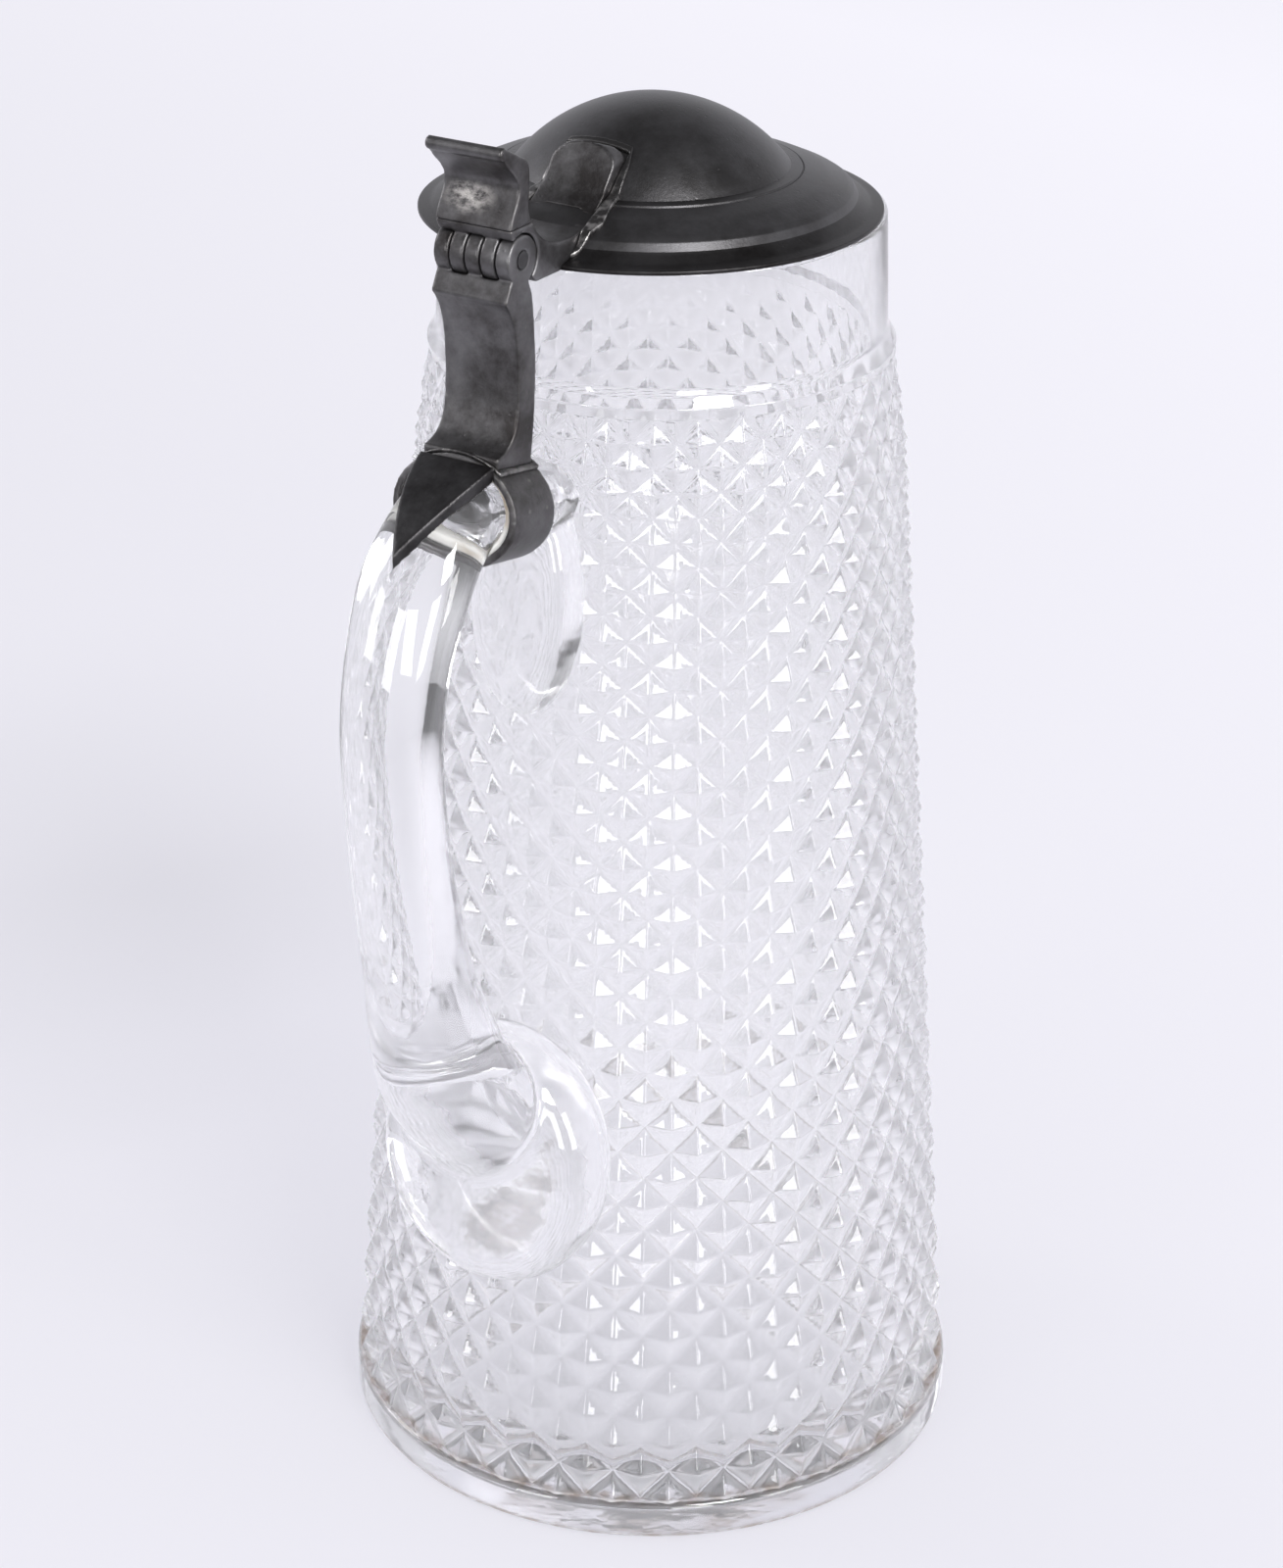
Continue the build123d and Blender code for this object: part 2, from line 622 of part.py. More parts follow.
def lid_lever():
    """Lever with two knuckles: a saddle over the hinge and a concave tongue up the dome."""
    seat_front = (SEAT_FRONT, SEAT_RISE)
    seat_back = (-SEAT_BACK, SEAT_RISE)
    tip = (-TONGUE_REACH, TONGUE_RISE)
    lip = (-TONGUE_REACH - TONGUE_LIP, TONGUE_RISE - TONGUE_LIP_DROP)
    buried = (-TONGUE_REACH - 2 * TONGUE_LIP, -HINGE_RISE)
    heel = (-LEVER_HEEL, -HINGE_RISE)
    saddle = Spline(
        seat_back,
        (-between(SEAT_BACK, TONGUE_REACH, 0.17), between(TONGUE_DIP, SEAT_RISE, 0.18)),
        (-between(SEAT_BACK, TONGUE_REACH, 0.4), TONGUE_DIP),
        (-between(SEAT_BACK, TONGUE_REACH, 0.73), between(TONGUE_DIP, TONGUE_RISE, 0.2)),
        (-between(SEAT_BACK, TONGUE_REACH, 0.89), between(TONGUE_DIP, TONGUE_RISE, 0.57)),
        tip,
    )
    blank = across(
        Line(seat_front, seat_back),
        saddle,
        Line(tip, lip),
        Line(lip, buried),
        Line(buried, heel),
        Line(heel, (0, 0)),
        Line((0, 0), (LEVER_SHOULDER_REACH, LEVER_SHOULDER_RISE)),
        Line((LEVER_SHOULDER_REACH, LEVER_SHOULDER_RISE), seat_front),
    )
    arch_start = HINGE_Z + TONGUE_RISE - TONGUE_ARCH
    arch_plane = Plane(origin=(0, 0, arch_start), x_dir=(0, 1, 0), z_dir=(1, 0, 0))
    gable = arch_plane * (
        Ellipse(TONGUE_HALF_WIDTH, TONGUE_ARCH)
        + Pos(0, -TONGUE_RISE) * Rectangle(2 * HALF_HINGE, 2 * TONGUE_RISE)
    )
    arch = extrude(gable, HINGE_X + SEAT_FRONT)
    blank = (blank & tongue_plan(0) & arch) - lid_outside()
    return hinge_leaf(blank, 1, PIN_RADIUS + PIN_RUNNING_CLEARANCE)


def lever_solder(lever):
    """Bead of solder round the tip and along both flanks of the tongue, as far as the brim."""
    lid = lid_outside()
    rim_x = LID_OFFSET + LID_RADIUS
    tip_x = HINGE_X - TONGUE_REACH - TONGUE_ARCH
    band_middle = rim_x - BRIM_WIDTH - BEVEL_WIDTH - BAND_WIDTH / 2
    corners = [
        (tip_x - SOLDER_WIDTH / 2, TONGUE_HALF_WIDTH),
        (tip_x + TONGUE_ARCH / 2, TONGUE_HALF_WIDTH + SOLDER_WIDTH / 2),
        (band_middle - BAND_WIDTH / 2, HALF_HINGE + SOLDER_WIDTH / 2),
        (band_middle, HALF_HINGE + SOLDER_WIDTH),
        (rim_x - BRIM_WIDTH, HALF_HINGE + SOLDER_WIDTH / 2),
        (rim_x - BRIM_WIDTH / 2, HALF_HINGE - SOLDER_WIDTH / 4),
    ]
    corners += [(x, -y) for x, y in reversed(corners)]
    plan = extrude(Pos(0, 0, LID_SEAT) * make_face(Polyline(*corners, close=True)), 2 * TONGUE_RISE)
    skin = (plan - tongue_plan(0)) & (Pos(0, 0, SOLDER_HEIGHT) * lid)
    return skin - lid - lever


def thumb_lift():
    """Thumb-rest: a plate with a hollow front and a lip that overhangs the hinge."""
    top = SEAT_RISE + LIFT_HEIGHT
    nose = LIFT_LIP / 2
    tip = (LIFT_THROW - nose, top)
    lip = (LIFT_THROW - nose, top - LIFT_LIP)
    front = Spline(
        lip,
        (between(LIFT_WAIST, LIFT_THROW, 0.45), SEAT_RISE + 0.7 * LIFT_HEIGHT),
        (LIFT_WAIST, SEAT_RISE + 0.48 * LIFT_HEIGHT),
        (between(LIFT_WAIST, SEAT_FRONT, 0.55), SEAT_RISE + 0.2 * LIFT_HEIGHT),
        (SEAT_FRONT, SEAT_RISE),
    )
    crown = (0, top - LIFT_CROWN_DROP)
    back = Spline(
        (-SEAT_BACK, SEAT_RISE),
        (-LIFT_BACK, SEAT_RISE + 0.34 * LIFT_HEIGHT),
        (-LIFT_NECK_BACK, SEAT_RISE + 0.72 * LIFT_HEIGHT),
        crown,
    )
    return across(
        ThreePointArc(tip, (LIFT_THROW, top - nose), lip),
        front,
        Line((SEAT_FRONT, SEAT_RISE), (-SEAT_BACK, SEAT_RISE)),
        back,
        Line(crown, tip),
    )


os.makedirs("parts", exist_ok=True)
handle = glass_handle()
leaf = collar_leaf(handle)
strap = hinge_strap()
lever = lid_lever()
pieces = {
    "glass_body": glass_body(),
    "glass_handle": handle,
    "handle_collar": handle_collar(),
    "collar_packing": collar_packing(handle),
    "collar_leaf": leaf,
    "hinge_strap": strap,
    "strap_solder": strap_solder(strap, leaf),
    "hinge_pin": hinge_pin(),
    "lid_lever": lever,
    "lever_solder": lever_solder(lever),
    "thumb_lift": thumb_lift(),
    "lid_shell": lid_shell(),
}
for name, piece in pieces.items():
    export_step(piece, f"parts/{name}.step")
    print(name, len(piece.solids()), round(piece.volume))
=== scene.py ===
from math import atan2, ceil, cos, pi, radians, sin, tan

import bpy
import numpy as np
from mathutils import Matrix, Vector


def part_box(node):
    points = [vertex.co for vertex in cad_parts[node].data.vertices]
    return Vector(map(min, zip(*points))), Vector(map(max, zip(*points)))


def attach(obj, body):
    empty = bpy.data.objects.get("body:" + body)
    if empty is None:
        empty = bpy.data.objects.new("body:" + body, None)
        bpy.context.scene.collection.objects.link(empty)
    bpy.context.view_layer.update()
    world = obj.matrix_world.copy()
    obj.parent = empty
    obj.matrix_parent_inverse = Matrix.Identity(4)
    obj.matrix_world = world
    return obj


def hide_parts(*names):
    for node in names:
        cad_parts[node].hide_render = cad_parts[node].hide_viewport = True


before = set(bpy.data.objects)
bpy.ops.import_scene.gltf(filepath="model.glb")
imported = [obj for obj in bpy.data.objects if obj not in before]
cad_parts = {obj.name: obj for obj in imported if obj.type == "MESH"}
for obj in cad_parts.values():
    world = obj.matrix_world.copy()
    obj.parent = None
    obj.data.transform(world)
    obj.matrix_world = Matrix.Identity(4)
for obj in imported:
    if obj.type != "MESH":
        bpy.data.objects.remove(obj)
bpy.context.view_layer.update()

# Camera, a long lens a little above the lid, turned towards the handle's side of the tankard.
# Pieces are measured in millimetres, and to_metres brings them into the frame's metres. Materials,
# the table and the lamps are given in metres.
to_metres = 0.001
view_azimuth = radians(121.77)
view_drop = radians(25.49)
view_roll = radians(0.50)
camera_place = Vector((604.7, 370.6, 487.8)) * to_metres

scene = bpy.context.scene
camera = bpy.data.objects.new("camera", bpy.data.cameras.new("camera"))
camera.data.sensor_fit = "VERTICAL"
camera.data.sensor_height = 36
camera.data.lens = 83.17
camera.data.clip_start = 0.01
aim = Matrix.Rotation(view_azimuth, 4, "Z") @ Matrix.Rotation(pi / 2 - view_drop, 4, "X")
camera.matrix_world = Matrix.Translation(camera_place) @ aim @ Matrix.Rotation(view_roll, 4, "Z")
scene.collection.objects.link(camera)
scene.camera = camera

# Glass body. A tall tapering vessel pressed in a mould: a rounded foot ring, a belt of low
# pyramids in rows set half a column apart, a step ring and a plain neck band up to the mouth.
columns = 34
half_rows = 42
first_column = 3.34
foot_radius = 68.2
foot_height = 9.1
belt_height = 241.0
belt_bottom_radius = 67.9
shoulder_height = 20.6
shoulder_radius = 51.4
belt_top_radius = 48.0
pyramid_depth = 2.2
top_pyramid_depth = 0.8
step_ring_height = 2.4
neck_radius = 46.2
mouth_radius = 45.3
mouth_wall = 3.8
glass_wall = 4.4
glass_floor = 12.0
cell_steps = (0, 0.045, 0.13, 0.3, 0.5, 0.7, 0.87, 0.955)
ridge_softness = 0.035
groove_softness = 0.13
groove_width = 0.22
belt_top = foot_height + belt_height
shoulder_start = belt_top - shoulder_height
mouth_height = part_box("glass_body")[1].z / to_metres


def between(low, high, share):
    return low + (high - low) * share


def tip_radius(height):
    """Radius to the points of the pyramids: a long taper, then a steeper shoulder."""
    up_taper = (height - foot_height) / (shoulder_start - foot_height)
    up_shoulder = (height - shoulder_start) / shoulder_height
    low = between(belt_bottom_radius, shoulder_radius, up_taper)
    high = between(shoulder_radius, belt_top_radius, up_shoulder)
    return np.where(height < shoulder_start, low, high)


def depth_at(height):
    """Depth of the grooves, which grow shallower over the shoulder."""
    up_shoulder = np.clip((height - shoulder_start) / shoulder_height, 0, 1)
    return between(pyramid_depth, top_pyramid_depth, up_shoulder)


def soft_size(value, softness):
    """Size of a value without its sign, rounded near nought."""
    return np.sqrt(value**2 + softness**2)


def pyramids(across, up):
    """Height of the pattern from its grooves, 0, to its points, 1, over half columns and half rows."""
    first = (across + up) / 2
    second = (across - up) / 2
    first = soft_size(first - np.round(first), ridge_softness / 2)
    second = soft_size(second - np.round(second), ridge_softness / 2)
    larger = (first + second + soft_size(first - second, ridge_softness)) / 2
    rise = 1 - 2 * larger
    return (rise + soft_size(rise, groove_softness)) / 2


def rounded(corners, arc_step=radians(9)):
    """Profile through corners given as radius, height and rounding, with each rounding as an arc."""
    places = [Vector(corner[:2]) for corner in corners]
    profile = [places[0]]
    for before, here, after, corner in zip(places, places[1:], places[2:], corners[1:]):
        incoming = (here - before).normalized()
        outgoing = (after - here).normalized()
        bend = incoming.angle_signed(outgoing, 0)
        if corner[2] == 0 or abs(bend) < radians(1):
            profile.append(here)
            continue
        reach = corner[2] * tan(abs(bend) / 2)
        count = max(2, ceil(abs(bend) / arc_step))
        start = here - incoming * reach
        inward = Vector((incoming.y, -incoming.x)) * (1 if bend > 0 else -1)
        centre = start + inward * corner[2]
        for step in range(count + 1):
            angle = -bend * step / count
            spoke = start - centre
            profile.append(centre + Matrix.Rotation(angle, 2) @ spoke)
    profile.append(places[-1])
    return [(point.x, point.y) for point in profile]


def grid_piece(name, rings):
    """Mesh from an array of rings of points in millimetres, each ring closed, ends fanned shut."""
    count, around = rings.shape[:2]
    points = rings.reshape(-1, 3) * to_metres
    points = np.vstack([points, points[:around].mean(0), points[-around:].mean(0)])
    low, high = count * around, count * around + 1
    index = np.arange(count * around).reshape(count, around)
    beside = np.roll(index, -1, axis=1)
    quads = np.stack([index[:-1], beside[:-1], beside[1:], index[1:]], axis=-1).reshape(-1, 4)
    low_fan = np.stack([np.full(around, low), beside[0], index[0]], axis=-1)
    high_fan = np.stack([np.full(around, high), index[-1], beside[-1]], axis=-1)
    loops = np.concatenate([quads.ravel(), low_fan.ravel(), high_fan.ravel()])
    sizes = np.concatenate([np.full(len(quads), 4), np.full(2 * around, 3)])
    mesh = bpy.data.meshes.new(name)
    mesh.vertices.add(len(points))
    mesh.vertices.foreach_set("co", points.astype(np.float32).ravel())
    mesh.loops.add(len(loops))
    mesh.loops.foreach_set("vertex_index", loops.astype(np.int32))
    mesh.polygons.add(len(sizes))
    starts = np.concatenate([[0], np.cumsum(sizes)[:-1]])
    mesh.polygons.foreach_set("loop_start", starts.astype(np.int32))
    mesh.polygons.foreach_set("use_smooth", np.ones(len(sizes), dtype=bool))
    mesh.update(calc_edges=True)
    piece = bpy.data.objects.new(name, mesh)
    scene.collection.objects.link(piece)
    return piece


def turned_rings(profile, angles, centre=(0, 0)):
    """Rings of a turned form, from its profile of radius and height."""
    radius, height = np.array(profile).T
    x = centre[0] + radius[:, None] * np.cos(angles)
    y = centre[1] + radius[:, None] * np.sin(angles)
    return np.stack([x, y, np.broadcast_to(height[:, None], x.shape)], axis=-1)


def belt_rings(angles, up, rise):
    """Rings of the belt, whose rows stand closer together upwards, in step with the radius."""
    shrink = (belt_top_radius / belt_bottom_radius) ** (1 / half_rows)
    height = foot_height + belt_height * (1 - shrink**up) / (1 - shrink**half_rows)
    height = height[:, None]
    radius = tip_radius(height) - depth_at(height) * (1 - rise)
    x = radius * np.cos(angles)
    y = radius * np.sin(angles)
    return np.stack([x, y, np.broadcast_to(height, x.shape)], axis=-1)


half_columns = (np.arange(2 * columns)[:, None] + np.array(cell_steps)).ravel()
half_row_marks = (np.arange(half_rows)[:, None] + np.array(cell_steps)).ravel()
half_row_marks = np.append(half_row_marks, half_rows)
belt_rise = pyramids(half_columns[None, :], half_row_marks[:, None])
body_angles = np.radians(first_column + half_columns * 180 / columns)
foot_profile = rounded([
    (3.0, 0, 0),
    (40.0, 0, 0),
    (foot_radius, 0, 1.8),
    (foot_radius, foot_height, 1.8),
    (64.5, foot_height, 0),
])[:-1]
neck_start = belt_top + step_ring_height
floor_radius = float(tip_radius(glass_floor)) - pyramid_depth - glass_wall
upper_profile = rounded([
    (belt_top_radius - 0.4, belt_top, 0),
    (belt_top_radius, neck_start - 0.2, 0.8),
    (neck_radius, neck_start + 2.6, 4.0),
    (mouth_radius, mouth_height, 1.5),
    (mouth_radius - mouth_wall, mouth_height, 1.5),
    (floor_radius, glass_floor, 9.0),
    (20.0, glass_floor, 0),
    (3.0, glass_floor, 0),
])
body_rings = np.concatenate([
    turned_rings(foot_profile, body_angles),
    belt_rings(body_angles, half_row_marks, belt_rise),
    turned_rings(upper_profile, body_angles),
])
glass_body = grid_piece("glass_body_pressed", body_rings)
groove = np.zeros(len(glass_body.data.vertices), dtype=np.float32)
first_point = len(foot_profile) * len(body_angles)
groove[first_point:first_point + belt_rise.size] = np.clip(1 - belt_rise / groove_width, 0, 1).ravel()
glass_body.data.attributes.new("groove", "FLOAT", "POINT").data.foreach_set("value", groove)

# Glass handle. A thick bar of hot glass bent from an upper pad, through the collar, round a wide
# bow and down into a large lower pad, all pressed onto the pyramids while soft.
# A station is the bar's middle as x and z, its half-width and its half-depth. A pad is its middle
# as x, y and z, its thickness, half-width and half-height.
handle_stations = [
    (44.0, 232.0, 11.0, 8.0),
    (54.0, 233.7, 11.0, 8.0),
    (68.4, 236.2, 11.0, 8.0),
    (75.3, 237.0, 11.0, 8.0),
    (81.8, 233.2, 11.3, 7.9),
    (87.5, 227.3, 11.8, 7.8),
    (93.8, 214.5, 11.2, 7.9),
    (96.8, 200.0, 10.9, 8.0),
    (96.0, 181.0, 10.9, 8.0),
    (93.0, 160.0, 11.6, 8.3),
    (89.0, 142.0, 12.8, 8.9),
    (85.0, 129.0, 15.0, 10.0),
    (79.0, 114.5, 17.3, 12.0),
    (70.0, 101.0, 17.5, 12.0),
    (60.0, 90.0, 16.0, 11.0),
]
lower_pad = (66.0, 2.3, 92.0, 11.0, 25.9, 29.0)
upper_pad = (52.4, 1.8, 212.0, 6.5, 11.9, 24.6)
wall_lean = radians(4.3)
bed_depth = 2.0


def smooth_row(rows, count):
    """Rows of numbers at even steps along a smooth curve through all the given rows."""
    rows = np.array(rows, dtype=float)
    gaps = np.linalg.norm(np.diff(rows[:, :2], axis=0), axis=1)
    marks = np.concatenate([[0], np.cumsum(gaps)])
    slopes = np.gradient(rows, marks, axis=0)
    places = np.linspace(0, marks[-1], count)
    cell = np.clip(np.searchsorted(marks, places, side="right") - 1, 0, len(gaps) - 1)
    gap = gaps[cell][:, None]
    share = ((places - marks[cell]) / gaps[cell])[:, None]
    start, end = rows[cell], rows[cell + 1]
    start_slope, end_slope = slopes[cell] * gap, slopes[cell + 1] * gap
    return (
        (2 * share**3 - 3 * share**2 + 1) * start
        + (share**3 - 2 * share**2 + share) * start_slope
        + (3 * share**2 - 2 * share**3) * end
        + (share**3 - share**2) * end_slope
    )


def bar_rings(stations, sections=70, around=40):
    """Rings of an oval bar that follows stations in the XZ plane, with half-width and half-depth."""
    row = smooth_row(stations, sections)
    along = np.gradient(row[:, :2], axis=0)
    along /= np.linalg.norm(along, axis=1, keepdims=True)
    turn = np.linspace(0, 2 * pi, around, endpoint=False)
    out = row[:, 3, None] * np.cos(turn)
    side = row[:, 2, None] * np.sin(turn)
    x = row[:, 0, None] + out * -along[:, 1, None]
    z = row[:, 1, None] + out * along[:, 0, None]
    return np.stack([x, side, z], axis=-1)


def lens_rings(pad, around=64, levels=32):
    """Rings of a lens of glass that lies on the leaning wall."""
    x, y, z, thickness, half_width, half_height = pad
    level = np.linspace(0.04, pi - 0.04, levels)[:, None]
    turn = np.linspace(0, 2 * pi, around, endpoint=False)
    plump = np.sin(level) * np.cos(turn)
    out = thickness * plump * np.sqrt(3 - 3 * plump**2 + plump**4)
    side = half_width * np.sin(level) * np.sin(turn)
    up = -half_height * np.cos(level) * np.ones_like(turn)
    lean_x = out * cos(wall_lean) - up * sin(wall_lean)
    lean_z = out * sin(wall_lean) + up * cos(wall_lean)
    return np.stack([x + lean_x, y + side, z + lean_z], axis=-1)


def join(pieces, name):
    """One object from several, whose meshes are put together as they lie."""
    with bpy.context.temp_override(active_object=pieces[0], selected_editable_objects=pieces):
        bpy.ops.object.join()
    pieces[0].name = name
    return pieces[0]


def settle(piece):
    """Gives the piece the mesh that its modifiers make, and removes them."""
    bpy.context.view_layer.update()
    shaped = piece.evaluated_get(bpy.context.evaluated_depsgraph_get())
    mesh = bpy.data.meshes.new_from_object(shaped)
    piece.modifiers.clear()
    piece.data = mesh
    mesh.polygons.foreach_set("use_smooth", np.ones(len(mesh.polygons), dtype=bool))
    return piece


def melt(piece, grain, rounds):
    """Makes crossing forms one skin of small faces and rounds its corners."""
    remesh = piece.modifiers.new("skin", "REMESH")
    remesh.mode = "VOXEL"
    remesh.voxel_size = grain * to_metres
    soften = piece.modifiers.new("soften", "SMOOTH")
    soften.factor = 0.5
    soften.iterations = rounds
    return settle(piece)


glass_handle = join(
    [
        grid_piece("handle_bar", bar_rings(handle_stations)),
        grid_piece("handle_lower_pad", lens_rings(lower_pad)),
        grid_piece("handle_upper_pad", lens_rings(upper_pad)),
    ],
    "glass_handle_drawn",
)
melt(glass_handle, grain=0.9, rounds=7)
handle_points = np.empty(len(glass_handle.data.vertices) * 3, dtype=np.float32)
glass_handle.data.vertices.foreach_get("co", handle_points)
handle_points = handle_points.reshape(-1, 3)
height = handle_points[:, 2] / to_metres
bed = (tip_radius(height) - depth_at(height) - bed_depth) * to_metres
reach = np.hypot(handle_points[:, 0], handle_points[:, 1])
inside = reach < bed
handle_points[inside, :2] *= (bed / reach)[inside, None]
glass_handle.data.vertices.foreach_set("co", handle_points.ravel())
glass_handle.data.update()
weld = glass_body.modifiers.new("weld", "BOOLEAN")
weld.operation = "UNION"
weld.solver = "MANIFOLD"
weld.object = glass_handle
settle(glass_body)
bpy.data.objects.remove(glass_handle)
glass_body.name = "glass_vessel"
glass_body.data.set_sharp_from_angle(angle=radians(42))
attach(glass_body, "vessel")
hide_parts("glass_body", "glass_handle")


class Bench:
    """Adds nodes to a node tree. Each input is a plain value or another node's output."""

    def __init__(self, tree):
        self.tree = tree

    def put(self, socket, value):
        if isinstance(value, bpy.types.NodeSocket):
            self.tree.links.new(value, socket)
        else:
            socket.default_value = value

    def feed(self, node, **inputs):
        for name, value in inputs.items():
            self.put(node.inputs[name.replace("_", " ")], value)

    def node(self, kind, settings=None, **inputs):
        added = self.tree.nodes.new(kind)
        for name, value in (settings or {}).items():
            setattr(added, name, value)
        self.feed(added, **inputs)
        return added

    def place(self):
        return self.node("ShaderNodeTexCoord").outputs["Object"]

    def height_of(self, place):
        return self.node("ShaderNodeSeparateXYZ", Vector=place).outputs["Z"]

    def ray(self, kind):
        return self.node("ShaderNodeLightPath").outputs[f"Is {kind} Ray"]

    def figure(self, operation, *values):
        """Sum, product or the like of numbers."""
        added = self.node("ShaderNodeMath", {"operation": operation})
        for socket, value in zip(added.inputs, values):
            self.put(socket, value)
        return added.outputs["Value"]

    def vector(self, operation, *values):
        """Product of vectors as a vector, or their length, distance or dot product as a number."""
        added = self.node("ShaderNodeVectorMath", {"operation": operation})
        for socket, value in zip(added.inputs, values):
            self.put(socket, value)
        return added.outputs["Vector" if operation == "MULTIPLY" else "Value"]

    def ranged(self, value, low, high, to_low=0.0, to_high=1.0, interpolation="LINEAR"):
        """Number that goes from to_low to to_high while the value goes from low to high."""
        added = self.node("ShaderNodeMapRange", {"interpolation_type": interpolation}, Value=value)
        self.feed(added, From_Min=low, From_Max=high, To_Min=to_low, To_Max=to_high)
        return added.outputs["Result"]

    def number_mix(self, share, first, second):
        added = self.node("ShaderNodeMix", {"data_type": "FLOAT"})
        for place, value in ((0, share), (2, first), (3, second)):
            self.put(added.inputs[place], value)
        return added.outputs[0]

    def colour_mix(self, share, first, second):
        added = self.node("ShaderNodeMix", {"data_type": "RGBA"})
        for place, value in ((0, share), (6, first), (7, second)):
            self.put(added.inputs[place], value)
        return added.outputs[2]

    def shader_mix(self, share, first, second):
        added = self.node("ShaderNodeMixShader", Fac=share)
        self.put(added.inputs[1], first)
        self.put(added.inputs[2], second)
        return added.outputs["Shader"]

    def noise(self, place, scale, detail, roughness=0.5):
        inputs = {"Vector": place, "Scale": scale, "Detail": detail, "Roughness": roughness}
        return self.node("ShaderNodeTexNoise", **inputs).outputs["Fac"]

    def tones(self, value, *stops):
        """Colour from a ramp, whose stops are pairs of a place and a colour."""
        ramp = self.node("ShaderNodeValToRGB", Fac=value)
        elements = ramp.color_ramp.elements
        elements[0].position, elements[0].color = stops[0]
        elements[1].position, elements[1].color = stops[-1]
        for position, colour in stops[1:-1]:
            elements.new(position).color = colour
        return ramp.outputs["Color"]

    def bump(self, height, distance, strength):
        return self.node("ShaderNodeBump", Height=height, Distance=distance, Strength=strength)


def new_material(name):
    """Empty node material, with the bench for its nodes and its main shader."""
    material = bpy.data.materials.new(name)
    material.use_nodes = True
    return material, Bench(material.node_tree), material.node_tree.nodes["Principled BSDF"]


def clear_glass():
    """Clear pressed glass: waves of its cooled skin, blurred grooves and old soil at the foot."""
    material, bench, shader = new_material("clear_glass")
    place = bench.place()
    height = bench.height_of(place)
    radius = bench.vector("LENGTH", bench.vector("MULTIPLY", place, (1, 1, 0)))
    # The tapering inner wall is rougher and more wavy where it faces the belt, which keeps the far
    # wall's pattern soft behind the near one.
    inner_taper = 0.0728
    within = bench.ranged(bench.figure("MULTIPLY_ADD", height, inner_taper, radius), 0.0635, 0.0634)
    below_neck = bench.ranged(height, 0.236, 0.224)
    above_floor = bench.ranged(height, 0.0122, 0.0135)
    ripple = bench.figure("MULTIPLY", within, bench.figure("MULTIPLY", above_floor, below_neck))
    haze = bench.ranged(bench.noise(place, 45.0, 3.0), 0.0, 1.0, 0.0, 0.05)
    groove = bench.node("ShaderNodeAttribute", {"attribute_name": "groove"}).outputs["Fac"]
    wall_rough = bench.figure("MULTIPLY_ADD", ripple, 0.12, haze)
    rough = bench.figure("MULTIPLY_ADD", groove, 0.13, wall_rough)
    swell = bench.ranged(ripple, 0.0, 1.0, 0.05, 0.40)
    waves = bench.bump(bench.noise(place, 160.0, 2.0), 0.0006, swell)
    # Brown specks sit along the foot ring's top edge and round the edge of the base.
    ring_height = 0.0094
    off_ring = bench.figure("ABSOLUTE", bench.figure("SUBTRACT", height, ring_height))
    ring_line = bench.ranged(off_ring, 0.0015, 0.0006)
    base_line = bench.ranged(height, 0.0028, 0.0010)
    lines = bench.figure("MAXIMUM", ring_line, base_line)
    at_edge = bench.figure("MULTIPLY", lines, bench.ranged(radius, 0.0632, 0.0640))
    crust = bench.ranged(bench.noise(place, 260.0, 5.0, 0.7), 0.32, 0.60)
    soil = bench.figure("MULTIPLY", at_edge, crust)
    colour = bench.colour_mix(soil, (0.985, 0.985, 0.99, 1), (0.34, 0.26, 0.20, 1))
    bench.feed(shader, Base_Color=colour, Roughness=rough, Normal=waves.outputs["Normal"])
    bench.feed(shader, IOR=1.5, Transmission_Weight=0.97)
    # A lamp's light passes through as plain shade.
    through = bench.node("ShaderNodeBsdfTransparent", Color=(0.94, 0.94, 0.95, 1)).outputs["BSDF"]
    skin = bench.shader_mix(bench.ray("Shadow"), shader.outputs["BSDF"], through)
    tint = bench.node("ShaderNodeVolumeAbsorption", Color=(0.45, 0.45, 0.53, 1), Density=1.5)
    output = material.node_tree.nodes["Material Output"]
    bench.feed(output, Surface=skin, Volume=tint.outputs["Volume"])
    return material


glass_body.data.materials.clear()
glass_body.data.materials.append(clear_glass())

# Pewter mounts of the handle and hinge. Cast and filed pewter, gone dark, whose corners are worn
# round: the strap, collar, leaf, pin, lever and thumb-lift keep the frame's places and shapes.


